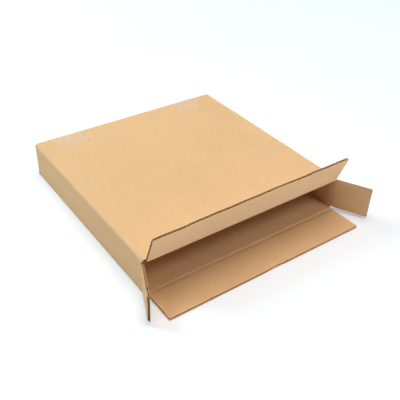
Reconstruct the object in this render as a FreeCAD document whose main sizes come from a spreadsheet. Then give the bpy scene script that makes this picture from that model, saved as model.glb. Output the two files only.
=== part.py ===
# Shallow square carton of corrugated board, set up and open at the front.
# Millimetres. Origin at the centre of the bottom panel's underside, +Z up, the open end towards -Y.
import FreeCAD, Part
import math
import os
import Sketcher

SIZES = {
    # outside of the set-up carton, from the front crease of the bottom panel to the back face
    "box_width": 400,
    "box_depth": 400,
    "box_height": 66,
    # corrugated board: two liners with a wavy medium between them
    "board": 4,
    "liner": 0.4,
    "medium": 0.4,
    "flute_pitch": 8,
    "flute_foot": 1.1,
    "flute_crest": 1.6,
    # folds, crushed score lines and the slots between the flaps
    "fold_radius": 5,
    "score_board": 1.2,
    "score_neck": 2.5,
    "score_run": 1.5,
    "slot_run": 1.5,
    "layer_gap": 0.3,
    # flaps
    "tuck_clearance": 2.5,
    "major_recess": 6.5,
    "minor_recess": 5,
    "bottom_extra": 1.8,
    "top_angle": 71,
    "left_angle": 25,
    "right_angle": 27,
    # glued corner
    "tab_width": 35,
    "tab_bevel": 12,
    "glue_line": 0.15,
    # crushed spot on the free edge of the bottom flap
    "dent_place": 5,
    "dent_length": 34,
    "dent_depth": 1.2,
    "dent_reach": 3.5,
    # clear tape over the back edge
    "tape_width": 60,
    "tape_inset": 64,
    "tape_top_lap": 42,
    "tape_back_lap": 45,
    "tape_film": 0.1,
}

# Lengths worked out from the sheet, as expressions
HALF_WIDTH = "(Sizes.box_width / 2)"
HALF_DEPTH = "(Sizes.box_depth / 2)"
HALF_HEIGHT = "(Sizes.box_height / 2)"
HALF_BOARD = "(Sizes.board / 2)"
HALF_SCORE = "(Sizes.score_board / 2)"
OUTER_RADIUS = "Sizes.fold_radius"
INNER_RADIUS = "(Sizes.fold_radius - Sizes.board)"
STEP = "(Sizes.board + Sizes.layer_gap)"
MAJOR_LENGTH = "(Sizes.box_height - Sizes.board - Sizes.tuck_clearance)"
MINOR_LENGTH = f"({MAJOR_LENGTH} + 2 * {STEP})"
MAJOR_WIDTH = "(Sizes.box_width - 2 * Sizes.major_recess)"
MINOR_WIDTH = "(Sizes.box_height - 2 * Sizes.minor_recess)"

# Creases at the open end: the bottom flap folds outermost, then the top flap, then the side flaps
BOTTOM_CREASE = f"(-{HALF_DEPTH})"
TOP_CREASE = f"({STEP} - {HALF_DEPTH})"
SIDE_CREASE = f"(2 * {STEP} - {HALF_DEPTH})"
LIP_BACK = "(Sizes.layer_gap + Sizes.score_board)"
SHOULDER = "(Sizes.score_neck + Sizes.score_run)"
TUBE_FRONT = f"({SIDE_CREASE} + {LIP_BACK} + {SHOULDER} + Sizes.slot_run)"

# Closed back: outer face of the bottom's flap, of the top's flap inside it and of the side flaps
BOTTOM_BACK = HALF_DEPTH
TOP_BACK = f"({HALF_DEPTH} - {STEP})"
SIDE_BACK = f"({HALF_DEPTH} - 2 * {STEP})"
TUBE_BACK = f"({SIDE_BACK} - Sizes.fold_radius - Sizes.slot_run)"

# Voids of the corrugated board
VOID_HALF = "(Sizes.flute_pitch / 2 - Sizes.flute_foot)"
CORE_HALF = "(Sizes.board / 2 - Sizes.liner)"
CREST_HALF = "(Sizes.flute_crest / 2)"
CREST_LEVEL = f"({CORE_HALF} - Sizes.medium)"

doc = FreeCAD.newDocument("carton")
sheet = doc.addObject("Spreadsheet::Sheet", "Sizes")
for row, (alias, value) in enumerate(SIZES.items(), start=1):
    sheet.set(f"A{row}", alias)
    sheet.set(f"B{row}", str(value))
    sheet.setAlias(f"B{row}", alias)
doc.recompute()


def amount(expression):
    """Value of an expression on the sheet."""
    result = sheet.evalExpression(expression)
    return float(getattr(result, "Value", result))


def new_body(name):
    body = doc.addObject("PartDesign::Body", name)
    body.Label = name
    return body


def new_sketch(body, name, plane, offset="0"):
    """A sketch on one of the body's origin planes, moved along its normal. That of XZ_Plane is -Y."""
    sketch = body.newObject("Sketcher::SketchObject", name)
    support = next(f for f in body.Origin.OriginFeatures if f.Role == plane)
    sketch.AttachmentSupport = [(support, "")]
    sketch.MapMode = "FlatFace"
    sketch.setExpression("AttachmentOffset.Base.z", offset)
    return sketch


def arc_through(start, stop, centre, turn):
    """Arc between two points, anticlockwise where turn is 1, with the ends it starts and stops at."""
    angles = [math.atan2(p.y - centre.y, p.x - centre.x) for p in (start, stop)]
    if turn < 0:
        angles.reverse()
    if angles[1] < angles[0]:
        angles[1] += 2 * math.pi
    circle = Part.Circle(centre, FreeCAD.Vector(0, 0, 1), start.distanceToPoint(centre))
    return Part.ArcOfCircle(circle, *angles), (1, 2) if turn > 0 else (2, 1)


def draw(sketch, corners, swap=False):
    """Add a closed outline whose points are bound to the sheet.

    A corner is (x, y), or (x, y, centre, turn) where an arc leads to the next corner. With swap, the
    outline's two axes change places. The point that ends an arc is bound along one axis only,
    because the arc gives the other.
    """
    def place(pair):
        return (pair[1], pair[0]) if swap else (pair[0], pair[1])

    def vector(pair):
        return FreeCAD.Vector(amount(place(pair)[0]), amount(place(pair)[1]), 0)

    def hold(geometry, end, pair, kinds=("DistanceX", "DistanceY")):
        values = dict(zip(("DistanceX", "DistanceY"), place(pair)))
        for kind in kinds:
            index = sketch.addConstraint(
                Sketcher.Constraint(kind, -1, 1, geometry, end, amount(values[kind])))
            sketch.setExpression(f"Constraints[{index}]", values[kind])

    first, total = sketch.GeometryCount, len(corners)
    ends, kinds = [], [("DistanceX", "DistanceY")] * total
    for number, corner in enumerate(corners):
        following = (number + 1) % total
        start, stop = vector(corner), vector(corners[following])
        if len(corner) == 2:
            shape, pair = Part.LineSegment(start, stop), (1, 2)
        else:
            centre = vector(corner[2])
            shape, pair = arc_through(start, stop, centre, -corner[3] if swap else corner[3])
            flat = abs(stop.x - centre.x) > abs(stop.y - centre.y)
            kinds[following] = ("DistanceY",) if flat else ("DistanceX",)
        sketch.addGeometry(shape, False)
        ends.append(pair)
    for number, corner in enumerate(corners):
        line, following = first + number, (number + 1) % total
        sketch.addConstraint(Sketcher.Constraint(
            "Coincident", line, ends[number][1], first + following, ends[following][0]))
        hold(line, ends[number][0], corner, kinds[number])
        if len(corner) > 2:
            hold(line, 3, corner[2])


def pad(body, name, sketch, length, side="One side"):
    feature = body.newObject("PartDesign::Pad", name)
    feature.Profile = sketch
    feature.SideType = side
    feature.setExpression("Length", length)


def pocket(body, name, sketch, depth, towards_normal=False):
    feature = body.newObject("PartDesign::Pocket", name)
    feature.Profile = sketch
    feature.Reversed = towards_normal
    feature.setExpression("Length", depth)
    return feature


def mirrored(corners):
    """An outline with left and right exchanged."""
    return [(f"-({c[0]})", *c[1:]) if len(c) == 2 else
            (f"-({c[0]})", c[1], (f"-({c[2][0]})", c[2][1]), -c[3]) for c in corners]


def tube_outside():
    """Outside of the four panels. The left panel's cut edge hangs beside the fold it is glued over."""
    plain, glued, high = f"(-{HALF_WIDTH})", HALF_WIDTH, "Sizes.box_height"
    seam = f"({HALF_WIDTH} - Sizes.board)"
    radius = OUTER_RADIUS
    bead_angle = f"asin(1 - Sizes.glue_line / {radius})"
    bead_level = f"{radius} - {radius} * cos({bead_angle})"
    return mirrored([
        (f"{plain} + {radius}", "0"),
        (f"{seam} - {radius}", "0", (f"{seam} - {radius}", radius), 1),
        (f"{seam} - Sizes.glue_line", bead_level),
        (seam, bead_level),
        (seam, "Sizes.layer_gap"),
        (glued, "Sizes.layer_gap"),
        (glued, f"{high} - {radius}", (f"{glued} - {radius}", f"{high} - {radius}"), 1),
        (f"{glued} - {radius}", high),
        (f"{plain} + {radius}", high, (f"{plain} + {radius}", f"{high} - {radius}"), 1),
        (plain, f"{high} - {radius}"),
        (plain, radius, (f"{plain} + {radius}", radius), 1),
    ])


def tube_inside():
    """Inside of the four panels, with the end of the fold that the glue tab stands on."""
    plain, glued = f"(Sizes.board - {HALF_WIDTH})", f"({HALF_WIDTH} - Sizes.board)"
    low, high = "Sizes.board", "(Sizes.box_height - Sizes.board)"
    bend, radius = OUTER_RADIUS, INNER_RADIUS
    tab = f"({glued} - Sizes.board)"
    return mirrored([
        (f"{tab} - {radius}", low, (f"{tab} - {radius}", bend), 1),
        (tab, bend),
        (glued, bend),
        (glued, f"{high} - {radius}", (f"{glued} - {radius}", f"{high} - {radius}"), 1),
        (f"{glued} - {radius}", high),
        (f"{plain} + {radius}", high, (f"{plain} + {radius}", f"{high} - {radius}"), 1),
        (plain, f"{high} - {radius}"),
        (plain, bend, (f"{plain} + {radius}", bend), 1),
        (f"{plain} + {radius}", low),
    ])


def lip(crease, face, inward):
    """Front edge of a panel, crushed and rounded behind its crease, up to the tube.

    Axes run along the panel's depth and across its thickness, inward (+1 or -1) from its outer face.
    """
    level = f"{face} + {inward} * {HALF_BOARD}"
    middle = f"{crease} + {LIP_BACK}"
    neck, shoulder = f"{middle} + Sizes.score_neck", f"{middle} + {SHOULDER}"
    return [
        (middle, f"{level} + {HALF_SCORE}", (middle, level), 1),
        (middle, f"{level} - {HALF_SCORE}"),
        (neck, f"{level} - {HALF_SCORE}"),
        (shoulder, f"{level} - {HALF_BOARD}"),
        (TUBE_FRONT, f"{level} - {HALF_BOARD}"),
        (TUBE_FRONT, f"{level} + {HALF_BOARD}"),
        (shoulder, f"{level} + {HALF_BOARD}"),
        (neck, f"{level} + {HALF_SCORE}"),
    ]


def folded_end(back, face, inward, length):
    """Back end of a panel with its flap folded square across the opening, on the same axes as lip."""
    def across(distance):
        return f"{face} + {inward} * ({distance})"

    bend = (f"{back} - {OUTER_RADIUS}", across(OUTER_RADIUS))
    free_edge = across(f"{HALF_BOARD} + {length}")
    return [
        (TUBE_BACK, across("0")),
        (bend[0], across("0"), bend, inward),
        (back, bend[1]),
        (back, free_edge),
        (f"{back} - Sizes.board", free_edge),
        (f"{back} - Sizes.board", bend[1], bend, -inward),
        (bend[0], across("Sizes.board")),
        (TUBE_BACK, across("Sizes.board")),
    ]


def void(middle, level, side):
    """One void of the board: flat on its liner, with two flanks and the flattened crest of the medium.

    Axes run along the cut edge and across the board, whose mid-plane is at level.
    """
    base = f"{level} + {side} * {CORE_HALF}"
    crest = f"{level} - {side} * {CREST_LEVEL}"
    return [
        (f"{middle} - {VOID_HALF}", base),
        (f"{middle} - {CREST_HALF}", crest),
        (f"{middle} + {CREST_HALF}", crest),
        (f"{middle} + {VOID_HALF}", base),
    ]


def cut_flutes(body, name, plane, offset, edge, width, depth, swap=False, towards_normal=False):
    """Open channels in a cut edge: the two voids of one pitch, repeated along the edge.

    The plane at offset is the edge's own face. Edge is (middle along it, level of its mid-plane).
    """
    count = f"floor(({width} - 2 * {VOID_HALF} - Sizes.flute_pitch / 2) / Sizes.flute_pitch) + 1"
    start = f"({edge[0]} - ({count} - 0.5) * Sizes.flute_pitch / 2)"
    sketch = new_sketch(body, f"{name}_voids", plane, offset)
    draw(sketch, void(start, edge[1], 1), swap)
    draw(sketch, void(f"{start} + Sizes.flute_pitch / 2", edge[1], -1), swap)
    doc.recompute()
    solid_before = body.Shape.Volume
    channel = pocket(body, f"{name}_channels", sketch, depth, towards_normal)
    doc.recompute()
    if body.Shape.Volume >= solid_before:
        raise RuntimeError(f"{name}: the channels cut nothing")
    flutes = body.newObject("PartDesign::LinearPattern", f"{name}_flutes")
    flutes.Originals = [channel]
    flutes.Direction = (sketch, ["V_Axis" if swap else "H_Axis"])
    flutes.Mode = "Spacing"
    flutes.setExpression("Offset", "Sizes.flute_pitch")
    flutes.setExpression("Occurrences", count)
    body.Tip = flutes


def carton_body():
    """The folded and glued sheet: four panels, the glue tab and the closed flaps at the back."""
    body = new_body("carton_body")
    section = new_sketch(body, "tube_section", "XZ_Plane", f"-{TUBE_BACK}")
    draw(section, tube_outside())
    draw(section, tube_inside())
    pad(body, "tube", section, f"{TUBE_BACK} - {TUBE_FRONT}")

    tab = new_sketch(body, "tab_outline", "YZ_Plane", f"Sizes.board - {HALF_WIDTH}")
    tab_top = f"{OUTER_RADIUS} + Sizes.tab_width"
    draw(tab, [
        (TUBE_FRONT, OUTER_RADIUS),
        (TUBE_BACK, OUTER_RADIUS),
        (f"{TUBE_BACK} - Sizes.tab_bevel", tab_top),
        (f"{TUBE_FRONT} + Sizes.tab_bevel", tab_top),
    ])
    pad(body, "glue_tab", tab, "Sizes.board")

    panels = (
        ("bottom", BOTTOM_CREASE, BOTTOM_BACK, "0", 1, MAJOR_LENGTH),
        ("top", TOP_CREASE, TOP_BACK, "Sizes.box_height", -1, MAJOR_LENGTH),
        ("left", SIDE_CREASE, SIDE_BACK, f"(-{HALF_WIDTH})", 1, MINOR_LENGTH),
        ("right", SIDE_CREASE, SIDE_BACK, HALF_WIDTH, -1, MINOR_LENGTH),
    )
    for name, crease, back, face, inward, length in panels:
        major = name in ("bottom", "top")
        plane, middle = ("YZ_Plane", "0") if major else ("XY_Plane", HALF_HEIGHT)
        profile = new_sketch(body, f"{name}_ends", plane, middle)
        draw(profile, lip(crease, face, inward), swap=not major)
        draw(profile, folded_end(back, face, inward, length), swap=not major)
        pad(body, f"{name}_panel", profile, MAJOR_WIDTH if major else MINOR_WIDTH, "Symmetric")

    back_edge = f"{HALF_BOARD} + {MAJOR_LENGTH}"
    cut_flutes(body, "outer_back", "XY_Plane", back_edge, ("0", f"({BOTTOM_BACK} - {HALF_BOARD})"),
               MAJOR_WIDTH, f"{back_edge} - {OUTER_RADIUS}")
    side_reach = f"({HALF_BOARD} + {MINOR_LENGTH})"
    for name, side in (("left_back", -1), ("right_back", 1)):
        cut_flutes(body, name, "YZ_Plane", f"{side} * ({HALF_WIDTH} - {side_reach})",
                   (HALF_HEIGHT, f"({SIDE_BACK} - {HALF_BOARD})"), MINOR_WIDTH,
                   f"{side_reach} - {OUTER_RADIUS}", swap=True, towards_normal=side > 0)
    return body


def flap(name, width, length, upright=False):
    """A flap in its own frame: the crease's axis through the origin, the board towards -Y.

    The axis runs along X, or along Z in an upright flap. The root is crushed and rounded on the axis.
    """
    body = new_body(name)
    profile = new_sketch(body, "section", "XY_Plane" if upright else "YZ_Plane")
    draw(profile, [
        ("0", f"-{HALF_SCORE}", ("0", "0"), 1),
        ("0", HALF_SCORE),
        ("-Sizes.score_neck", HALF_SCORE),
        (f"-{SHOULDER}", HALF_BOARD),
        (f"-{length}", HALF_BOARD),
        (f"-{length}", f"-{HALF_BOARD}"),
        (f"-{SHOULDER}", f"-{HALF_BOARD}"),
        ("-Sizes.score_neck", f"-{HALF_SCORE}"),
    ], swap=upright)
    pad(body, "board", profile, width, "Symmetric")
    cut_flutes(body, "edge", "XZ_Plane", length, ("0", "0"), width,
               f"{length} - {SHOULDER} - Sizes.liner", swap=upright)
    return body


def crush_edge(body, length):
    """Crushed spot on a flap's free edge, open to the flutes on the inner face."""
    half, reach = "(Sizes.dent_length / 2)", "Sizes.dent_reach"
    radius = f"(({half} ^ 2 + {reach} ^ 2) / (2 * {reach}))"
    centre = ("Sizes.dent_place", f"{reach} - {radius} - {length}")
    outline = new_sketch(body, "dent_outline", "XY_Plane", HALF_BOARD)
    draw(outline, [
        (f"Sizes.dent_place - {half}", f"-{length}", centre, -1),
        (f"Sizes.dent_place + {half}", f"-{length}"),
    ])
    body.Tip = pocket(body, "dent", outline, "Sizes.dent_depth")


def set_place(body, place, axis=None, angle="0"):
    """Bind a body's place, and its turn about an axis through its origin."""
    if axis:
        body.Placement.Rotation = FreeCAD.Rotation(FreeCAD.Vector(*axis), amount(angle))
        body.setExpression("Placement.Rotation.Angle", angle)
    for letter, expression in zip("xyz", place):
        body.setExpression(f"Placement.Base.{letter}", expression)


def tape_strip(name, side):
    """Clear film from the top panel over the back fold and down the outer back flap."""
    film, radius = "Sizes.tape_film", OUTER_RADIUS
    centre = (f"({TOP_BACK} - {radius})", f"(Sizes.box_height - {radius})")
    across = f"({radius} + {STEP})"
    rise = f"({HALF_BOARD} + {MAJOR_LENGTH} - {centre[1]})"
    lean = f"(atan2({rise}; {across}) + acos({radius} / hypot({rise}; {across})))"

    def leave(growth):
        return (f"{centre[0]} + ({radius} + {growth}) * cos({lean})",
                f"{centre[1]} + ({radius} + {growth}) * sin({lean})")

    def edge(growth):
        drop = f"({radius} + {growth} - ({across} + {growth}) * cos({lean})) / sin({lean})"
        return f"{BOTTOM_BACK} + {growth}", f"{centre[1]} + {drop}"

    front, high = f"{BOTTOM_BACK} - Sizes.tape_top_lap", "Sizes.box_height"
    low = f"{HALF_BOARD} + {MAJOR_LENGTH} - Sizes.tape_back_lap"
    body = new_body(name)
    profile = new_sketch(body, "film_section", "YZ_Plane")
    draw(profile, [
        (front, high),
        (centre[0], high, centre, -1),
        leave("0"),
        edge("0"),
        (BOTTOM_BACK, low),
        (f"{BOTTOM_BACK} + {film}", low),
        edge(film),
        (*leave(film), centre, 1),
        (centre[0], f"{high} + {film}"),
        (front, f"{high} + {film}"),
    ])
    pad(body, "film", profile, "Sizes.tape_width", "Symmetric")
    set_place(body, (f"{side} * ({HALF_WIDTH} - Sizes.tape_inset)", "0", "0"))
    return body


def build():
    carton = carton_body()
    bottom_length = f"({MAJOR_LENGTH} + Sizes.bottom_extra)"
    bottom = flap("bottom_flap", MAJOR_WIDTH, bottom_length)
    crush_edge(bottom, bottom_length)
    set_place(bottom, ("0", BOTTOM_CREASE, HALF_BOARD))
    top = flap("top_flap", MAJOR_WIDTH, MAJOR_LENGTH)
    set_place(top, ("0", TOP_CREASE, f"Sizes.box_height - {HALF_BOARD}"), (-1, 0, 0), "Sizes.top_angle")
    left = flap("left_flap", MINOR_WIDTH, MINOR_LENGTH, upright=True)
    set_place(left, (f"{HALF_BOARD} - {HALF_WIDTH}", SIDE_CREASE, HALF_HEIGHT),
              (0, 0, -1), "Sizes.left_angle")
    right = flap("right_flap", MINOR_WIDTH, MINOR_LENGTH, upright=True)
    set_place(right, (f"{HALF_WIDTH} - {HALF_BOARD}", SIDE_CREASE, HALF_HEIGHT),
              (0, 0, 1), "Sizes.right_angle")
    return [carton, bottom, top, left, right, tape_strip("left_tape", -1), tape_strip("right_tape", 1)]


pieces = build()
doc.recompute()
for item in doc.Objects:
    if "Invalid" in item.State or "Error" in item.State:
        raise RuntimeError(f"{item.Name} failed: {item.State}")
for piece in pieces:
    if piece.Shape.isNull() or not piece.Shape.isValid() or len(piece.Shape.Solids) != 1:
        raise RuntimeError(f"{piece.Label} is not one valid solid")

os.makedirs("parts", exist_ok=True)
for piece in pieces:
    piece.Shape.exportStep(f"parts/{piece.Label}.step")
    print(f"{piece.Label}: {piece.Shape.Volume:.1f} mm3")
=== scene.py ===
"""Flat square carton of corrugated board, open at the front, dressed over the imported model.

Shapes are worked out in millimetres in the row frame and turned into metres when a mesh is made.
"""
import math

import bpy
import numpy as np
from mathutils import Matrix, Vector

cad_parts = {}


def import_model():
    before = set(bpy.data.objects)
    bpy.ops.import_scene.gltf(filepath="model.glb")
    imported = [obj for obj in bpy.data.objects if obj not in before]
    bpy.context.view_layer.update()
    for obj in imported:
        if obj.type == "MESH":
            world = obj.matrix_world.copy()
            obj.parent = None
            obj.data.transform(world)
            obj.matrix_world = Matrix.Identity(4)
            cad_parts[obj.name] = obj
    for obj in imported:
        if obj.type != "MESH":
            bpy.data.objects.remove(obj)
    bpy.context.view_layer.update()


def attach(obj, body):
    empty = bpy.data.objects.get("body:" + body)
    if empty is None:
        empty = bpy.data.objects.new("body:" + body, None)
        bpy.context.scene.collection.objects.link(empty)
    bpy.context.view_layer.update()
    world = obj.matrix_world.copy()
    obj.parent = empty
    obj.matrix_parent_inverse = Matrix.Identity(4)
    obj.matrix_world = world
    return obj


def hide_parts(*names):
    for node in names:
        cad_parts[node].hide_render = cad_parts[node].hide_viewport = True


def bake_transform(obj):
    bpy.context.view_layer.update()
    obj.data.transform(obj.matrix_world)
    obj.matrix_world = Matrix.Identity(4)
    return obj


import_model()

MM = 0.001

# Carton and board
HEIGHT = 66.0
BOARD, LINER, MEDIUM = 4.0, 0.4, 0.34
HALF_BOARD = BOARD / 2
CORE_HALF = HALF_BOARD - LINER
FLUTE = 8.0
FOLD_RADIUS = 5.0
MAJOR_LENGTH, MINOR_LENGTH, BOTTOM_LENGTH = 59.5, 68.1, 61.3
MAJOR_WIDTH, MINOR_WIDTH = 387.0, 56.0
TUBE_FRONT, TUBE_BACK = -184.4, 184.9
SLOT_FRONT, SLOT_BACK = -192.0, 192.5
TAB_TOP, TAB_BEVEL = 40.0, 12.0

# Folds across the flutes at the back: outer and inner radius
BACK_OUTER, BACK_INNER = 1.6, 0.3

# How far the fold at each closed back flap, and the corners between them, swell past their crease
SWELL = {"right": 6.8, "top": 4.0, "left": 6.8, "bottom": 0.0}
CORNER_SWELL = 6.0
SWELL_START, SWELL_RUN = 150.0, 30.0
# Stations along a back flap, as shares of its length, with the share of the swelling left at each
SWELL_LEFT = {1: 0, 0.86: 0, 0.72: 0, 0.55: 0, 0.4: 0, 0.25: 0, 0.12: 0.12, 0.05: 0.5}
FLAT_SHARE = 0.12
# The long back flaps draw in at their ends by this share, beside the swollen side folds
BACK_NARROW = 0.034
# The long fold at the top right is crisper than the others
RIGHT_FOLD_SWELL = 1.4
# The left panel opens this far at its crease, from this far behind it
LEFT_FLARE, FLARE_RUN = 0.8, 18.0

# How far the front flaps stand open at rest, in degrees outwards from straight
TOP_ANGLE, LEFT_ANGLE, RIGHT_ANGLE = 71, 25, 27
# Crushed spot on the bottom flap's free edge
CRUSH_MIDDLE, CRUSH_REACH, CRUSH_DEPTH, CRUSH_LIFT = 5.0, 15.0, 3.0, 1.9

# Clear tape: the left strip's half width and middle, what the right one differs by, and where each lies
TAPE_HALF, TAPE_MIDDLE = 30.0, 136.0
RIGHT_TAPE_SHIFT, RIGHT_TAPE_LESS = 8.0, 2.5
TAPE_FRONT, TAPE_LOW, TAPE_FACE, TAPE_RISE = 158.0, 17.5, 200.02, 0.16
TAPE_FILM, TOOTH_PITCH, TOOTH_DEPTH = 0.08, 3.0, 0.9

# The crease at the open end: how far the flap's own mesh reaches behind it, and the bend on each side
ROOT = 5.5
BEND = 3.0
CORE_RECESS = 0.8
OPEN_FLUTES = 16.0

# Panels: middle of the board, direction round the section, outward normal, creases in front and behind
PANELS = {
    "right": dict(middle=(198, 33), along=(0, 1), out=(1, 0), front=-191.4, back=191.4, length=MINOR_LENGTH),
    "top": dict(middle=(0, 64), along=(-1, 0), out=(0, 1), front=-195.7, back=195.7, length=MAJOR_LENGTH),
    "left": dict(middle=(-198, 33), along=(0, -1), out=(-1, 0), front=-191.4, back=191.4, length=MINOR_LENGTH),
    "bottom": dict(middle=(0, 2), along=(1, 0), out=(0, -1), front=-200.0, back=200.0, length=MAJOR_LENGTH),
}


def smooth(t):
    """Soft step from 0 to 1."""
    t = np.clip(t, 0, 1)
    return t * t * (3 - 2 * t)


def bell(distance, reach):
    """One at no distance, fading to nothing past about twice the reach."""
    return np.exp(-(np.asarray(distance, float) / reach) ** 2)


def spread(start, stop, step):
    """Even stations from start to stop, about a step apart, both ends included."""
    count = max(1, round(abs(stop - start) / step))
    return list(np.linspace(start, stop, count + 1))


def drift(a, b, seed):
    """Slow, smooth unevenness between about -1 and 1 over two lengths in millimetres."""
    total = 0
    for number, (run_a, run_b) in enumerate(((210, 150), (120, 260), (75, 95), (48, 140))):
        phase = seed * 1.7 + number * 2.3
        total = total + np.sin(a / run_a * 2 * math.pi + phase) * np.cos(b / run_b * 2 * math.pi + 2.1 * phase)
    return total / 2.4


# Finishes of a board's faces, in the order of its materials
LINER_FACE, CUT_EDGE, CORE, FLUTES = range(4)


class Shape:
    """Points, faces and their finishes, gathered for one mesh."""

    def __init__(self):
        self.points, self.faces, self.finish, self.sheet = [], [], [], []
        self.count = 0

    def add(self, points, faces, finish, sheet):
        """Points in millimetres, with each one's place on the flat sheet."""
        self.points.append(np.asarray(points, float))
        self.sheet.append(np.asarray(sheet, float))
        self.faces.extend([[int(i) + self.count for i in face] for face in faces])
        self.finish.extend([finish] * len(faces) if isinstance(finish, int) else list(finish))
        self.count += len(points)

    def piece(self, name, materials, sharp=35):
        mesh = bpy.data.meshes.new(name)
        points, sheet = np.concatenate(self.points), np.concatenate(self.sheet)
        mesh.from_pydata([tuple(p) for p in points * MM], [], self.faces)
        for material in materials:
            mesh.materials.append(material)
        mesh.polygons.foreach_set("material_index", self.finish)
        mesh.polygons.foreach_set("use_smooth", [True] * len(self.faces))
        flat = mesh.uv_layers.new(name="sheet")
        corners = np.empty(len(mesh.loops), dtype=np.int32)
        mesh.loops.foreach_get("vertex_index", corners)
        flat.data.foreach_set("uv", (sheet[corners] * MM).ravel())
        mesh.validate()
        mesh.set_sharp_from_angle(angle=math.radians(sharp))
        mesh.update()
        piece = bpy.data.objects.new(name, mesh)
        bpy.context.collection.objects.link(piece)
        return piece


def layer(shape, place, us, vs, kept, low, high, finishes):
    """One closed layer over the kept cells of a grid, between two heights above the board's middle."""
    u, v = np.meshgrid(us, vs, indexing="ij")
    total = u.size
    index = np.arange(total).reshape(u.shape)
    quads = np.stack([index[:-1, :-1], index[1:, :-1], index[1:, 1:], index[:-1, 1:]], -1)[kept]
    codes = {(int(q[k]), int(q[(k + 1) % 4])) for q in quads for k in range(4)}
    rim = [(p, q) for p, q in codes if (q, p) not in codes]
    rim.sort()
    faces = [list(q) for q in quads] + [[i + total for i in q[::-1]] for q in quads]
    faces += [[q, p, p + total, q + total] for p, q in rim]
    points = np.concatenate([place(u, v, np.full(u.shape, high)).reshape(-1, 3),
                             place(u, v, np.full(u.shape, low)).reshape(-1, 3)])
    sheet = np.concatenate([np.stack([u, v], -1).reshape(-1, 2)] * 2)
    used = np.unique([i for face in faces for i in face])
    renumber = np.zeros(2 * total, int)
    renumber[used] = np.arange(len(used))
    surface, edge = finishes
    finish = [surface] * (2 * len(quads)) + [edge] * len(rim)
    shape.add(points[used], [[renumber[i] for i in face] for face in faces], finish, sheet[used])


def board(shape, place, us, vs, kept, core):
    """Two liners and the core between them, which stands back from the cut edges."""
    layer(shape, place, us, vs, kept, CORE_HALF, HALF_BOARD, (LINER_FACE, CUT_EDGE))
    layer(shape, place, us, vs, kept, -HALF_BOARD, -CORE_HALF, (LINER_FACE, CUT_EDGE))
    layer(shape, place, us, vs, core, -CORE_HALF, CORE_HALF, (CORE, CORE))


def fluting_tree():
    """Wavy medium: a grid bent into a wave, given a thickness, with its size as inputs."""
    tree = bpy.data.node_groups.new("wavy_medium", "GeometryNodeTree")
    face = tree.interface
    face.new_socket("Geometry", in_out="OUTPUT", socket_type="NodeSocketGeometry")
    sizes = (("Width", 0.387), ("Depth", 0.02), ("Pitch", 0.008), ("Rise", 0.0014),
             ("Thickness", 0.00034), ("Phase", 0.0))
    for title, value in sizes:
        face.new_socket(title, in_out="INPUT", socket_type="NodeSocketFloat").default_value = value
    face.new_socket("Steps", in_out="INPUT", socket_type="NodeSocketInt").default_value = 577
    face.new_socket("Finish", in_out="INPUT", socket_type="NodeSocketMaterial")
    nodes, links = tree.nodes, tree.links
    given, result = nodes.new("NodeGroupInput"), nodes.new("NodeGroupOutput")

    def maths(operation, *values):
        node = nodes.new("ShaderNodeMath")
        node.operation = operation
        for socket, value in zip(node.inputs, values):
            if isinstance(value, (int, float)):
                socket.default_value = value
            else:
                links.new(value, socket)
        return node.outputs[0]

    grid = nodes.new("GeometryNodeMeshGrid")
    links.new(given.outputs["Width"], grid.inputs["Size X"])
    links.new(given.outputs["Depth"], grid.inputs["Size Y"])
    links.new(given.outputs["Steps"], grid.inputs["Vertices X"])
    grid.inputs["Vertices Y"].default_value = 2
    place = nodes.new("ShaderNodeSeparateXYZ")
    links.new(nodes.new("GeometryNodeInputPosition").outputs[0], place.inputs[0])
    turn = maths("MULTIPLY", maths("DIVIDE", maths("SUBTRACT", place.outputs["X"], given.outputs["Phase"]),
                                   given.outputs["Pitch"]), 2 * math.pi)
    rise = maths("MULTIPLY", maths("COSINE", turn), maths("MULTIPLY", given.outputs["Rise"], -1.0))
    lift = nodes.new("ShaderNodeCombineXYZ")
    links.new(rise, lift.inputs["Z"])
    wave = nodes.new("GeometryNodeSetPosition")
    links.new(grid.outputs["Mesh"], wave.inputs["Geometry"])
    links.new(lift.outputs[0], wave.inputs["Offset"])
    half_down = nodes.new("ShaderNodeCombineXYZ")
    links.new(maths("MULTIPLY", given.outputs["Thickness"], -0.5), half_down.inputs["Z"])
    lowered = nodes.new("GeometryNodeSetPosition")
    links.new(wave.outputs[0], lowered.inputs["Geometry"])
    links.new(half_down.outputs[0], lowered.inputs["Offset"])
    thick = nodes.new("GeometryNodeExtrudeMesh")
    thick.inputs["Individual"].default_value = False
    links.new(lowered.outputs[0], thick.inputs["Mesh"])
    links.new(given.outputs["Thickness"], thick.inputs["Offset Scale"])
    under = nodes.new("GeometryNodeFlipFaces")
    links.new(lowered.outputs[0], under.inputs["Mesh"])
    both = nodes.new("GeometryNodeJoinGeometry")
    links.new(thick.outputs["Mesh"], both.inputs[0])
    links.new(under.outputs[0], both.inputs[0])
    merged = nodes.new("GeometryNodeMergeByDistance")
    merged.inputs["Distance"].default_value = 1e-6
    links.new(both.outputs[0], merged.inputs["Geometry"])
    real = nodes.new("GeometryNodeRealizeInstances")
    links.new(merged.outputs[0], real.inputs["Geometry"])
    finish = nodes.new("GeometryNodeSetMaterial")
    links.new(real.outputs[0], finish.inputs["Geometry"])
    links.new(given.outputs["Finish"], finish.inputs["Material"])
    links.new(finish.outputs[0], result.inputs[0])
    return tree


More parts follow.
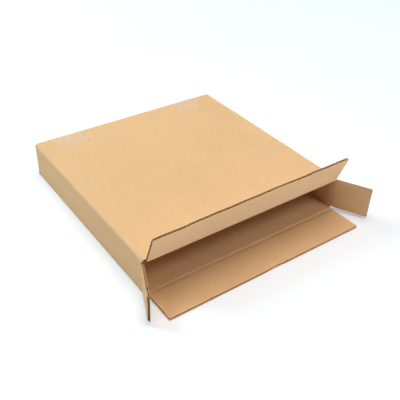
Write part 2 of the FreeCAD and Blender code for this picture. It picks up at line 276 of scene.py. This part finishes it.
def fluting(tree, width, depth, phase, finish):
    """Points in millimetres and faces of one strip of wavy medium."""
    mesh = bpy.data.meshes.new("medium")
    carrier = bpy.data.objects.new("medium", mesh)
    bpy.context.collection.objects.link(carrier)
    modifier = carrier.modifiers.new("medium", "NODES")
    modifier.node_group = tree
    ids = {item.name: item.identifier for item in tree.interface.items_tree if item.in_out == "INPUT"}
    steps = int(round(width / FLUTE * 12)) + 1
    for title, value in (("Width", width * MM), ("Depth", depth * MM), ("Pitch", FLUTE * MM),
                         ("Rise", (CORE_HALF - MEDIUM / 2) * MM), ("Thickness", MEDIUM * MM),
                         ("Phase", phase * MM), ("Steps", steps), ("Finish", finish)):
        modifier[ids[title]] = value
    bpy.context.view_layer.update()
    evaluated = carrier.evaluated_get(bpy.context.evaluated_depsgraph_get())
    baked = bpy.data.meshes.new_from_object(evaluated)
    points = np.array([v.co for v in baked.vertices]) / MM
    faces = [list(p.vertices) for p in baked.polygons]
    bpy.data.objects.remove(carrier)
    bpy.data.meshes.remove(mesh)
    bpy.data.meshes.remove(baked)
    return points, faces


def add_fluting(shape, place, tree, width, phase, start, stop, finish):
    """Open flutes between two stations of a flap, laid in the board by its own place function."""
    points, faces = fluting(tree, width, abs(stop - start), phase, finish)
    u, v, h = points[:, 0], points[:, 1] + (start + stop) / 2, points[:, 2]
    shape.add(place(u, v, h), faces, FLUTES, np.stack([u, v], -1))


def panel_point(panel, across, y, height):
    """Point of a panel: along its section, at depth y, and at a height above the board's middle."""
    x = panel["middle"][0] + panel["along"][0] * across + panel["out"][0] * height
    z = panel["middle"][1] + panel["along"][1] * across + panel["out"][1] * height
    return np.stack([x + 0 * y, y + 0 * x, z + 0 * y], -1)


def fold(points, panel, angle, share):
    """Turn points about a panel's front crease, outwards, each by its share of an angle in degrees."""
    axis = np.array([panel["along"][0], 0, panel["along"][1]], float)
    out = np.array([panel["out"][0], 0, panel["out"][1]], float)
    centre = np.array([panel["middle"][0], panel["front"], panel["middle"][1]], float)
    offset = points - centre
    forward, lifted = -offset[..., 1], offset @ out
    turn = np.radians(angle) * share
    new_forward = forward * np.cos(turn) - lifted * np.sin(turn)
    new_lifted = forward * np.sin(turn) + lifted * np.cos(turn)
    base = (offset @ axis)[..., None] * axis
    return centre + base + new_lifted[..., None] * out - new_forward[..., None] * np.array([0.0, 1.0, 0.0])


# Materials


class Finish:
    """Node helpers for one material."""

    def __init__(self, name, **settings):
        self.material = bpy.data.materials.new(name)
        self.material.use_nodes = True
        self.nodes, self.links = self.material.node_tree.nodes, self.material.node_tree.links
        self.shader = self.nodes["Principled BSDF"]
        for title, value in settings.items():
            self.shader.inputs[title.replace("_", " ")].default_value = value

    def node(self, kind, inputs=(), **settings):
        node = self.nodes.new(kind)
        for title, value in settings.items():
            setattr(node, title, value)
        for key, value in dict(inputs).items():
            if isinstance(value, bpy.types.NodeSocket):
                self.links.new(value, node.inputs[key])
            else:
                node.inputs[key].default_value = value
        return node

    def maths(self, operation, first, second=0.0):
        return self.node("ShaderNodeMath", {0: first, 1: second}, operation=operation).outputs[0]

    def noise(self, vector, scale, detail=3.0, roughness=0.55):
        return self.node("ShaderNodeTexNoise", {"Vector": vector, "Scale": scale, "Detail": detail,
                                                "Roughness": roughness}).outputs["Fac"]

    def between(self, value, low, high, floor, ceiling):
        """Value carried from low..high to floor..ceiling."""
        return self.node("ShaderNodeMapRange", {0: value, 1: low, 2: high, 3: floor, 4: ceiling}).outputs[0]

    def stretched(self, vector, scale):
        return self.node("ShaderNodeMapping", {"Vector": vector, "Scale": scale}).outputs[0]

    def mixed(self, share, first, second, blend="MIX"):
        node = self.node("ShaderNodeMix", {"Factor": share}, data_type="RGBA", blend_type=blend)
        for socket, value in ((node.inputs[6], first), (node.inputs[7], second)):
            if isinstance(value, bpy.types.NodeSocket):
                self.links.new(value, socket)
            else:
                socket.default_value = (*value, 1)
        return node.outputs[2]

    def scaled(self, colour, factor):
        """Colour made lighter or darker by a number."""
        grey = self.node("ShaderNodeCombineXYZ", {0: factor, 1: factor, 2: factor}).outputs[0]
        return self.mixed(1.0, colour, grey, "MULTIPLY")

    def finish(self, colour, bump=None, distance=0.0001, strength=0.5):
        self.links.new(colour, self.shader.inputs["Base Color"])
        if bump is not None:
            node = self.node("ShaderNodeBump", {"Height": bump, "Distance": distance, "Strength": strength})
            self.links.new(node.outputs[0], self.shader.inputs["Normal"])
        return self.material


def kraft_liner():
    """Brown paper face: cloudy tone, fibres across the flutes, a trace of the flutes, and paler folds and creases:
    partly wear, partly a painted highlight.
    """
    f = Finish("kraft_liner", Roughness=0.82, Specular_IOR_Level=0.25)
    place = f.node("ShaderNodeTexCoord").outputs["Object"]
    flat = f.node("ShaderNodeUVMap", uv_map="sheet").outputs[0]
    wear_and_highlight = f.node("ShaderNodeAttribute", attribute_name="wear_and_highlight").outputs["Fac"]
    clouds = f.between(f.noise(place, 9.0, 4.0), 0.3, 0.7, 0.965, 1.03)
    pulp = f.between(f.noise(place, 130.0, 3.0), 0.3, 0.7, 0.975, 1.022)
    fibre = f.noise(f.stretched(flat, (260.0, 2100.0, 1.0)), 1.0, 3.0, 0.65)
    fibres = f.between(fibre, 0.3, 0.7, 0.965, 1.03)
    across = f.node("ShaderNodeSeparateXYZ", {0: flat}).outputs["X"]
    ridge = f.maths("SINE", f.maths("MULTIPLY", across, 2 * math.pi / (FLUTE * MM)))
    ridges = f.between(ridge, -1.0, 1.0, 0.994, 1.006)
    tone = f.maths("MULTIPLY", f.maths("MULTIPLY", clouds, pulp), f.maths("MULTIPLY", fibres, ridges))
    fleck = f.between(f.noise(f.stretched(flat, (420.0, 1500.0, 1.0)), 1.0, 1.0), 0.72, 0.79, 0.0, 0.35)
    colour = f.mixed(fleck, f.scaled((0.800, 0.530, 0.292), tone), (0.36, 0.21, 0.10))
    # Paler colour where the wear attribute is high: wear at the folds, and a painted highlight along the raised
    # flaps' creases.
    scuff_and_highlight = f.maths("MULTIPLY", wear_and_highlight, f.between(f.noise(place, 240.0, 2.0), 0.3, 0.65, 0.25, 0.8))
    colour = f.mixed(scuff_and_highlight, colour, (0.88, 0.66, 0.42))
    height = f.maths("ADD", f.maths("MULTIPLY", fibre, 0.5), f.maths("MULTIPLY", ridge, 0.35))
    return f.finish(colour, height, 0.00008, 0.6)


def brown_paper(name, colour, roughness, scale=500.0, spread_low=0.75, spread_high=1.2):
    """Rough brown paper without a face, as at cut edges and inside the board; for the dark core it paints the shade
    in the hollows between the flutes.
    """
    f = Finish(name, Roughness=roughness, Specular_IOR_Level=0.2)
    place = f.node("ShaderNodeTexCoord").outputs["Object"]
    grain = f.noise(place, scale, 3.0)
    return f.finish(f.scaled(colour, f.between(grain, 0.3, 0.7, spread_low, spread_high)), grain, 0.0001, 0.4)


def clear_film():
    """Clear packing tape: glossy, slightly hazy, with long faint ripples."""
    f = Finish("clear_film", Roughness=0.38, Alpha=0.13)
    place = f.node("ShaderNodeTexCoord").outputs["Object"]
    ripples = f.noise(f.stretched(place, (60.0, 16.0, 40.0)), 1.0, 1.0)
    colour = f.scaled((0.98, 0.95, 0.92), f.between(ripples, 0.3, 0.7, 0.96, 1.02))
    return f.finish(colour, ripples, 0.0002, 0.25)


KRAFT = kraft_liner()
CUT_PAPER = brown_paper("cut_paper", (0.74, 0.49, 0.27), 0.9)
# The core's dark colour is painted shade: it stands for the shadowed hollows between the flutes at the cut edges.
CORE_FLUTE_SHADE = brown_paper("core_flute_shade", (0.34, 0.19, 0.09), 0.95, 300.0, 0.7, 1.25)
MEDIUM_PAPER = brown_paper("medium_paper", (0.66, 0.42, 0.225), 0.9, 300.0)
BOARD_FINISHES = (KRAFT, CUT_PAPER, CORE_FLUTE_SHADE, MEDIUM_PAPER)
FILM = clear_film()

WAVE = fluting_tree()


def set_wear_and_highlight(piece, amount):
    """Paler wear and a painted highlight on the faces, from a function of the points in millimetres."""
    points = np.array([v.co for v in piece.data.vertices]) / MM
    wear_and_highlight = piece.data.attributes.new("wear_and_highlight", "FLOAT", "POINT")
    wear_and_highlight.data.foreach_set("value", np.clip(amount(points), 0, 1).astype(np.float32))


# The folded sheet that doesn't move


def section_stations():
    """Stations round the carton's section, from the cut edge at the bottom right to the tab's free edge."""
    stations = []

    def panel(name, acrosses, strip):
        for across in acrosses:
            p = PANELS[name]
            x, z = (p["middle"][k] + p["along"][k] * across for k in (0, 1))
            stations.append(dict(owner=name, across=across, x=x, z=z, nx=p["out"][0], nz=p["out"][1],
                                 strip=abs(across) <= strip + 0.01, fold=0.0))

    def corner(centre, start):
        for angle in (15, 30, 45, 60, 75):
            way = math.radians(start + angle)
            nx, nz = math.cos(way), math.sin(way)
            stations.append(dict(owner=None, across=0.0, x=centre[0] + (FOLD_RADIUS - HALF_BOARD) * nx,
                                 z=centre[1] + (FOLD_RADIUS - HALF_BOARD) * nz, nx=nx, nz=nz,
                                 strip=False, fold=math.sin(math.radians(2 * angle))))

    half = MAJOR_WIDTH / 2
    major = [-half, -half + CORE_RECESS] + spread(-half + 8, half - 8, 12) + [half - CORE_RECESS, half]
    minor = [-28, -28 + CORE_RECESS] + spread(-22, 22, 11) + [28 - CORE_RECESS, 28]
    for z in (TAB_TOP, TAB_TOP - CORE_RECESS, 32, 26, 20, 14, 8, 5):
        stations.append(dict(owner="tab", across=z - 5, x=-194.0, z=z, nx=-1, nz=0, strip=False, fold=0.0))
    corner((-191, 5), 180)
    panel("bottom", [-191, -190.2] + major[2:] + [195], 191.1)
    for station in stations[-2:-5:-1]:
        station["strip"] = True
    corner((195, 5), 270)
    panel("right", minor, 28)
    corner((195, 61), 0)
    panel("top", [-195] + major + [195], half)
    corner((-195, 61), 90)
    panel("left", minor + [31.9, 32.7], 28)
    length = 0.0
    for number, here in enumerate(stations):
        if number:
            before = stations[number - 1]
            length += math.hypot(here["x"] - before["x"], here["z"] - before["z"])
        here["length"] = length
    return stations


def depth_stations():
    """Stations from the free edge of the closed back flaps, over the back fold, to the front lips."""
    flap = [("flap", share) for share in SWELL_LEFT]
    bend = [("bend", angle) for angle in (90, 75, 60, 45, 30, 15, 0)]
    tube = [("tube", y) for y in [TUBE_BACK, TUBE_BACK - CORE_RECESS]
            + spread(TUBE_BACK - 6, TUBE_FRONT + 6, 13) + [TUBE_FRONT + CORE_RECESS, TUBE_FRONT]]
    return flap + bend + tube + [("lip", 0.5), ("lip", 1)]


# Depths of the short ends of the long folds, between the flaps: at the back and at the front
SLOTS = (SLOT_BACK, SLOT_BACK - CORE_RECESS, TUBE_BACK, TUBE_FRONT, SLOT_FRONT + CORE_RECESS, SLOT_FRONT)


def slot_runs(stations):
    """Ranges of stations between two panels' flaps, round each long fold."""
    runs, start = [], None
    for number, station in enumerate(stations):
        inside = not station["strip"]
        if inside and start is None:
            start = max(number - 1, 0)
        if not inside and start is not None:
            runs.append((start, number))
            start = None
    if start is not None:
        runs.append((start, len(stations) - 1))
    return [(a, b) for a, b in runs if stations[a]["owner"] != "tab"]


def left_flare(y, side):
    """The left panel starts to open a little behind its crease."""
    if side != "left":
        return 0 * y
    return LEFT_FLARE * smooth((PANELS["left"]["front"] + FLARE_RUN - y) / FLARE_RUN)


def panel_bow(name, across, y):
    """Slow unevenness of a panel, gone at its folds and creases."""
    half = 195 if name in ("top", "bottom") else 28
    fade = smooth((half - abs(across)) / (half * 0.22)) * smooth((185 - abs(y)) / 40)
    if name == "bottom":
        return -0.25 * fade * (1 + drift(across, y, 3))
    rise = {"top": 0.55, "left": 0.35, "right": 0.35}[name]
    return rise * fade * drift(across, y, {"top": 1, "left": 5, "right": 8}[name])


def carton_shell():
    """The four panels, the glue tab, the closed back flaps and the lips in front, all one folded sheet."""
    stations, depths = section_stations(), depth_stations()
    first_tube = next(j for j, d in enumerate(depths) if d[0] == "tube")
    last_tube = max(j for j, d in enumerate(depths) if d[0] == "tube")

    def point(i, j, h):
        s = stations[i]
        kind, value = depths[j] if j < len(depths) else ("tube", SLOTS[j - len(depths)])
        swell = SWELL.get(s["owner"], CORNER_SWELL if s["z"] > FOLD_RADIUS else 0.0)
        if kind == "tube":
            y = value + swell * smooth((value - SWELL_START) / SWELL_RUN) * (s["owner"] != "tab")
            if s["owner"] == "tab":
                middle, half = (TUBE_FRONT + TUBE_BACK) / 2, (TUBE_BACK - TUBE_FRONT) / 2
                y = middle + (value - middle) * (1 - TAB_BEVEL * s["across"] / (TAB_TOP - FOLD_RADIUS) / half)
            if s["owner"] in PANELS:
                h = h + panel_bow(s["owner"], s["across"], y) + left_flare(y, s["owner"])
            elif s["fold"]:
                h = h + 0.22 * s["fold"] * drift(s["length"], y, 4) * smooth((184 - abs(y)) / 12)
                h = h + left_flare(y, "left" if s["x"] < 0 else "") * (1 - abs(s["nz"]))
                if s["x"] > 0 and s["z"] > HEIGHT / 2:
                    h = h + RIGHT_FOLD_SWELL * s["fold"] ** 2
            return s["x"] + s["nx"] * h, y, s["z"] + s["nz"] * h
        p = PANELS.get(s["owner"])
        if p is None:
            return s["x"], depths[first_tube][1] if kind != "lip" else TUBE_FRONT, s["z"]
        if kind == "lip":
            y = TUBE_FRONT + (p["front"] + ROOT - TUBE_FRONT) * value
            h = h + left_flare(y, s["owner"])
        elif kind == "bend":
            way, share = math.radians(value), (h + HALF_BOARD) / BOARD
            reach = BACK_INNER + (BACK_OUTER - BACK_INNER) * share
            in_y, in_h = -BOARD - BACK_INNER, -HALF_BOARD - BACK_INNER
            out_y, out_h = -BACK_OUTER, HALF_BOARD - BACK_OUTER
            y = p["back"] + swell + in_y + (out_y - in_y) * share + reach * math.sin(way)
            h = in_h + (out_h - in_h) * share + reach * math.cos(way)
        else:
            start = -HALF_BOARD - BACK_INNER + (BOARD + BACK_INNER - BACK_OUTER) * (h + HALF_BOARD) / BOARD
            y = p["back"] - HALF_BOARD + h + swell * SWELL_LEFT[value]
            h = start + (-p["length"] - start) * value
            if s["owner"] in ("top", "bottom"):
                narrow = 1 - BACK_NARROW * smooth(value / FLAT_SHARE)
                return s["x"] * narrow, y, s["z"] + s["nz"] * h
        return s["x"] + s["nx"] * h, y, s["z"] + s["nz"] * h

    def place(u, v, h):
        points = [point(int(i), int(j), float(k)) for i, j, k in zip(u.ravel(), v.ravel(), h.ravel())]
        return np.array(points).reshape(u.shape + (3,))

    rows, columns = len(stations) - 1, len(depths) - 1
    kept, core = np.zeros((rows, columns), bool), np.zeros((rows, columns), bool)
    for i in range(rows):
        a, b = stations[i], stations[i + 1]
        strip = a["strip"] and b["strip"] and a["owner"] == b["owner"]
        inner = strip and b["across"] - a["across"] > CORE_RECESS + 0.01
        edge = i in (0, rows - 1)
        for j in range(columns):
            tube = first_tube <= j < last_tube
            kept[i, j] = tube or strip
            if tube:
                core[i, j] = not edge and (first_tube < j < last_tube - 1 or inner)
            else:
                core[i, j] = inner and not (depths[j][0] == "flap" and depths[j][1] > 0.73)
    shape = Shape()
    board(shape, place, np.arange(rows + 1), np.arange(columns + 1), kept, core)
    ends = len(depths) + np.arange(len(SLOTS))
    for a, b in slot_runs(stations):
        for js in (ends[:3], ends[3:]):
            cells = np.ones((b - a, 2), bool)
            inner = cells.copy()
            inner[:, 0 if js[0] == ends[0] else 1] = False
            board(shape, place, np.arange(a, b + 1), js, cells, inner)
    lengths = np.array([s["length"] for s in stations])
    backs = [d[1] if d[0] == "tube" else 190 + 4 * (first_tube - j) if j < first_tube else -188 - 4 * (j - last_tube)
             for j, d in enumerate(depths)] + list(SLOTS)
    for sheet in shape.sheet:
        i, j = sheet[:, 0].astype(int), sheet[:, 1].astype(int)
        sheet[:, 0], sheet[:, 1] = lengths[i], np.array(backs)[j]

    for name, p in PANELS.items():
        width = MAJOR_WIDTH if name in ("top", "bottom") else MINOR_WIDTH
        open_run = 0.28 * (p["length"] - FOLD_RADIUS + HALF_BOARD)

        def back_place(u, v, h, p=p):
            """Across the closed back flap: v is the distance from its free edge, counted inwards."""
            level = -p["length"] + v
            narrow = BACK_NARROW if p["out"][1] else 0.0
            x = p["middle"][0] + p["along"][0] * u * (1 - narrow) + p["out"][0] * level
            z = p["middle"][1] + p["along"][1] * u + p["out"][1] * level
            return np.stack([x, p["back"] - HALF_BOARD + h + 0 * x, z], -1)

        phase = flute_phase(width)
        add_fluting(shape, back_place, WAVE, width - 2 * CORE_RECESS, phase, 0.5, open_run, MEDIUM_PAPER)
    piece = shape.piece("carton_board", BOARD_FINISHES)
    folds = [(195, 61), (-195, 61), (195, 5), (-191, 5)]

    # Paler bands at the four long folds and along the back fold of the top: partly wear, partly a painted highlight
    # on the folds.
    def wear_and_highlight(points):
        amount = 0
        for x, z in folds:
            way = np.arctan2(points[:, 2] - z, points[:, 0] - x)
            sought = math.atan2(1 if z > 33 else -1, 1 if x > 0 else -1)
            near = np.hypot(points[:, 0] - x, points[:, 2] - z) < 6
            amount = amount + near * bell(np.abs(way - sought), 0.5) * 0.12
        return amount + 0.25 * bell(points[:, 1] - 197.5, 2.0) * bell(points[:, 2] - 63.5, 3.0)

    set_wear_and_highlight(piece, wear_and_highlight)
    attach(piece, "carton")
    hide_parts("carton_body")
    return piece


def flute_phase(width):
    """Where a crest of the wave lies along a flap's edge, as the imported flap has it."""
    count = int((width - 5.8 - FLUTE / 2) // FLUTE) + 1
    return -(count - 0.5) * FLUTE / 2


# The open flaps


def bottom_marks(u, v, h, length):
    """The bottom flap's crushed spot, the faint crease on its inner face, and its wider ends."""
    inner = (HALF_BOARD - h) / BOARD
    near = bell(u - CRUSH_MIDDLE, CRUSH_REACH) * smooth((v - (length - 8)) / 7)
    v = v - CRUSH_DEPTH * near * inner
    streak = bell(v - 1.6 - 0.09 * np.abs(u + 3), 1.3) * smooth((48 - np.abs(u)) / 14)
    h = h + CRUSH_LIFT * near * inner + 0.45 * streak * inner
    ahead = smooth(v / 8)
    u = u - 2.9 * ahead * smooth((-u - 140) / 50) + 1.6 * ahead * smooth((u - 140) / 50) * smooth(v / length)
    return u, v, h


def top_marks(u, v, h, length):
    """The top flap is a little shorter towards its left end and spreads past its crease there."""
    left = smooth((u + 60) / 250)
    ahead = np.maximum(v, 0)
    return u + 1.3 * smooth((u - 150) / 40) * smooth(v / 6), v - 0.022 * ahead * left, h


def left_marks(u, v, h, length):
    """The left flap is cut a little shorter."""
    return u, v - 0.009 * np.maximum(v, 0), h


def right_marks(u, v, h, length):
    """The right flap stands a little wider than its panel, mostly past its first few millimetres."""
    return u * (1 + 0.034 * smooth(v / 10)), v, h


def flap_piece(name, panel_name, angle, width, warp, marks):
    """One open flap: from just behind its crease, through the bend, to its free edge with open flutes."""
    p = PANELS[panel_name]
    length = BOTTOM_LENGTH if panel_name == "bottom" else p["length"]

    def place(u, v, h):
        u, v, h = marks(u, v, h, length)
        crushed = bell(v, 2.3)
        height = h * (1 - 0.4 * crushed) + 0.25 * crushed + warp(u, np.maximum(v, 0))
        points = panel_point(p, u, p["front"] - v, height + left_flare(p["front"] - v, panel_name))
        return fold(points, p, angle, smooth((v + BEND) / (2 * BEND)))

    half = width / 2
    us = [-half, -half + CORE_RECESS] + spread(-half + 3, half - 3, 4.0) + [half - CORE_RECESS, half]
    vs = ([-ROOT, -4.2, -3, -2.4, -1.8, -1.2, -0.6, 0, 0.6, 1.2, 1.8, 2.4, 3, 4.2, 6]
          + spread(9, length - OPEN_FLUTES, 5.0) + spread(length - OPEN_FLUTES, length, 2.5)[1:])
    core_end = vs.index(next(v for v in vs if abs(v - (length - OPEN_FLUTES)) < 1e-6))
    kept = np.ones((len(us) - 1, len(vs) - 1), bool)
    core = kept.copy()
    core[0], core[-1], core[:, core_end:] = False, False, False
    shape = Shape()
    board(shape, place, us, vs, kept, core)
    add_fluting(shape, place, WAVE, width - 2 * CORE_RECESS, flute_phase(width),
                length - OPEN_FLUTES - 0.2, length - 0.4, MEDIUM_PAPER)
    piece = shape.piece(name + "_board", BOARD_FINISHES)
    axis = Vector((p["middle"][0], p["front"], p["middle"][1]))
    out = Vector((p["out"][0], 0, p["out"][1]))
    offset = np.array(axis)

    # Painted highlight: a paler band along the crease of each raised flap; the bottom flap gets none.
    def wear_and_highlight(points):
        gap = points - offset
        across = np.hypot(gap[:, 1], gap @ np.array(out))
        return (0.0 if panel_name == "bottom" else 0.25) * bell(across, 2.6)

    set_wear_and_highlight(piece, wear_and_highlight)
    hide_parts(name)
    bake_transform(piece)
    return piece


def tape(name, side):
    """Clear film from the top panel over the back fold and down the back, with saw-cut ends."""
    middle, half = side * TAPE_MIDDLE, TAPE_HALF
    if side > 0:
        middle, half = middle - RIGHT_TAPE_SHIFT, half - RIGHT_TAPE_LESS
    fold_y, fold_z = PANELS["top"]["back"] + SWELL["top"] - BACK_OUTER, HEIGHT - BACK_OUTER
    path = [(TAPE_FRONT + k, HEIGHT, 0, 1) for k in np.linspace(0, fold_y - TAPE_FRONT, 9)]
    on_top = len(path)
    path += [(fold_y + BACK_OUTER * math.sin(a), fold_z + BACK_OUTER * math.cos(a), math.sin(a), math.cos(a))
             for a in np.radians((22, 45, 68, 88))]
    path += [(TAPE_FACE, z, 1, 0) for z in (62, 56, 48, 39, 29, TAPE_LOW)]
    us = np.array(spread(-half, half, 1.5))
    shape = Shape()
    points, flat = [], []
    for number, (y, z, ny, nz) in enumerate(path):
        for u in us:
            x = middle + u
            saw = abs((u / TOOTH_PITCH) % 1 - 0.5) * 2 - 0.5
            tooth = TOOTH_DEPTH * saw if number in (0, len(path) - 1) else 0
            rise = TAPE_RISE
            if number < on_top:
                rise += float(panel_bow("top", -x, np.array(y)))
            points.append((x, y + ny * rise - (tooth if number == 0 else 0), z + nz * rise
                           - (tooth if number else 0)))
            flat.append((u, number * 4.0))
    count = len(us)
    faces = [[r * count + c, r * count + c + 1, (r + 1) * count + c + 1, (r + 1) * count + c]
             for r in range(len(path) - 1) for c in range(count - 1)]
    shape.add(points, faces, 0, flat)
    piece = shape.piece(name + "_film", (FILM,), sharp=60)
    thick = piece.modifiers.new("film", "SOLIDIFY")
    thick.thickness, thick.offset = TAPE_FILM * MM, 0.0
    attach(piece, "carton")
    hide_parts(name)
    return piece


def bottom_warp(u, v):
    """The bottom flap lies almost flat on the ground."""
    return -0.18 * smooth(v / 30) * (1 + drift(u, v, 2))


def top_warp(u, v):
    """The top flap waves a little and leans further forwards at its left end."""
    wave = 0.5 * smooth(v / 25) * drift(u, v, 6) + 0.006 * v * np.sin(u / MAJOR_WIDTH * math.pi * 1.6)
    return wave - 0.018 * v * smooth((u + 60) / 250)


def left_warp(u, v):
    """The left flap leaves its panel softly and straightens after a few millimetres."""
    return -0.5 * smooth(v / 12) - 0.017 * v


def right_warp(u, v):
    """The right flap leaves its crease bent back and comes round again."""
    return -0.6 * smooth(v / 20) + 0.012 * v


carton_shell()
flap_piece("bottom_flap", "bottom", 0, MAJOR_WIDTH, bottom_warp, bottom_marks)
flap_piece("top_flap", "top", TOP_ANGLE, MAJOR_WIDTH, top_warp, top_marks)
flap_piece("left_flap", "left", LEFT_ANGLE, MINOR_WIDTH, left_warp, left_marks)
flap_piece("right_flap", "right", RIGHT_ANGLE, MINOR_WIDTH, right_warp, right_marks)
tape("left_tape", -1)
tape("right_tape", 1)


# Studio: floor, light and camera


def floor():
    """Pale ground that glows for the camera alone, more with distance, and keeps the shadows."""
    mesh = bpy.data.meshes.new("floor")
    reach = 9.0
    mesh.from_pydata([(-reach, -reach, 0), (reach, -reach, 0), (reach, reach, 0), (-reach, reach, 0)], [],
                     [(0, 1, 2, 3)])
    ground = bpy.data.objects.new("floor", mesh)
    bpy.context.collection.objects.link(ground)
    f = Finish("floor_paper")
    nodes, links = f.nodes, f.links
    plain = f.node("ShaderNodeBsdfDiffuse", {"Color": (0.85, 0.90, 0.95, 1)})
    reach_out = f.node("ShaderNodeVectorMath", {0: f.node("ShaderNodeTexCoord").outputs["Object"]},
                       operation="LENGTH").outputs["Value"]
    glow = f.between(reach_out, 0.7, 3.2, 0.24, 1.1)
    seen = f.node("ShaderNodeEmission", {"Color": (0.76, 0.88, 1.0, 1), "Strength": f.maths(
        "MULTIPLY", f.node("ShaderNodeLightPath").outputs["Is Camera Ray"], glow)})
    total = f.node("ShaderNodeAddShader", {0: plain.outputs[0], 1: seen.outputs[0]})
    output = nodes["Material Output"]
    links.new(total.outputs[0], output.inputs["Surface"])
    mesh.materials.append(f.material)


def world():
    """Faint bluish sky on the object, white to the camera."""
    space = bpy.data.worlds.new("studio")
    bpy.context.scene.world = space
    space.use_nodes = True
    nodes, links = space.node_tree.nodes, space.node_tree.links
    sky = nodes["Background"]
    sky.inputs["Color"].default_value = (0.65, 0.8, 1.0, 1)
    sky.inputs["Strength"].default_value = 0.04
    seen = nodes.new("ShaderNodeBackground")
    seen.inputs["Color"].default_value = (1, 1, 1, 1)
    seen.inputs["Strength"].default_value = 1.0
    mix, path = nodes.new("ShaderNodeMixShader"), nodes.new("ShaderNodeLightPath")
    links.new(path.outputs["Is Camera Ray"], mix.inputs[0])
    links.new(sky.outputs[0], mix.inputs[1])
    links.new(seen.outputs[0], mix.inputs[2])
    links.new(mix.outputs[0], nodes["World Output"].inputs["Surface"])


def lamp(name, place, target, size, power, colour):
    """Round soft light: place and target in metres, power in watts."""
    data = bpy.data.lights.new(name, "AREA")
    data.shape, data.size, data.energy, data.color = "DISK", size, power, colour
    light = bpy.data.objects.new(name, data)
    bpy.context.collection.objects.link(light)
    light.location = place
    light.rotation_euler = (Vector(target) - Vector(place)).to_track_quat("-Z", "Y").to_euler()


def camera():
    """Camera fitted to the carton's corners in the photograph."""
    yaw, pitch, roll = (math.radians(a) for a in (36.463, 36.080, 1.980))
    forward = Vector((math.sin(yaw) * math.cos(pitch), math.cos(yaw) * math.cos(pitch), -math.sin(pitch)))
    level = Vector((math.cos(yaw), -math.sin(yaw), 0))
    upright = level.cross(forward)
    right = math.cos(roll) * level + math.sin(roll) * upright
    up = -math.sin(roll) * level + math.cos(roll) * upright
    data = bpy.data.cameras.new("camera")
    data.sensor_width, data.lens = 36.0, 53.828
    eye = bpy.data.objects.new("camera", data)
    bpy.context.collection.objects.link(eye)
    turn = Matrix((right, up, -forward)).transposed().to_4x4()
    eye.matrix_world = Matrix.Translation(Vector((-519.75, -762.30, 651.39)) * MM) @ turn
    bpy.context.scene.camera = eye


floor()
world()
lamp("above", (0.2, 0.1, 2.2), (0, 0, 0), 1.6, 30, (1.0, 0.9, 0.79))
lamp("back_left", (-1.2, 1.4, 1.8), (0, 0, 0), 1.2, 30, (0.83, 1.0, 0.99))
lamp("left", (-2.0, -0.4, 1.2), (0, 0, 0), 1.2, 6, (1.0, 0.85, 0.85))
lamp("right_front", (0.9, -1.5, 2.2), (0, 0, 0), 0.9, 14, (1.0, 0.98, 0.93))
lamp("front_low", (0.9, -2.2, 0.16), (0, 0, 0.03), 0.3, 17, (0.84, 0.87, 1.0))
camera()

bpy.context.scene.view_settings.view_transform = "Standard"
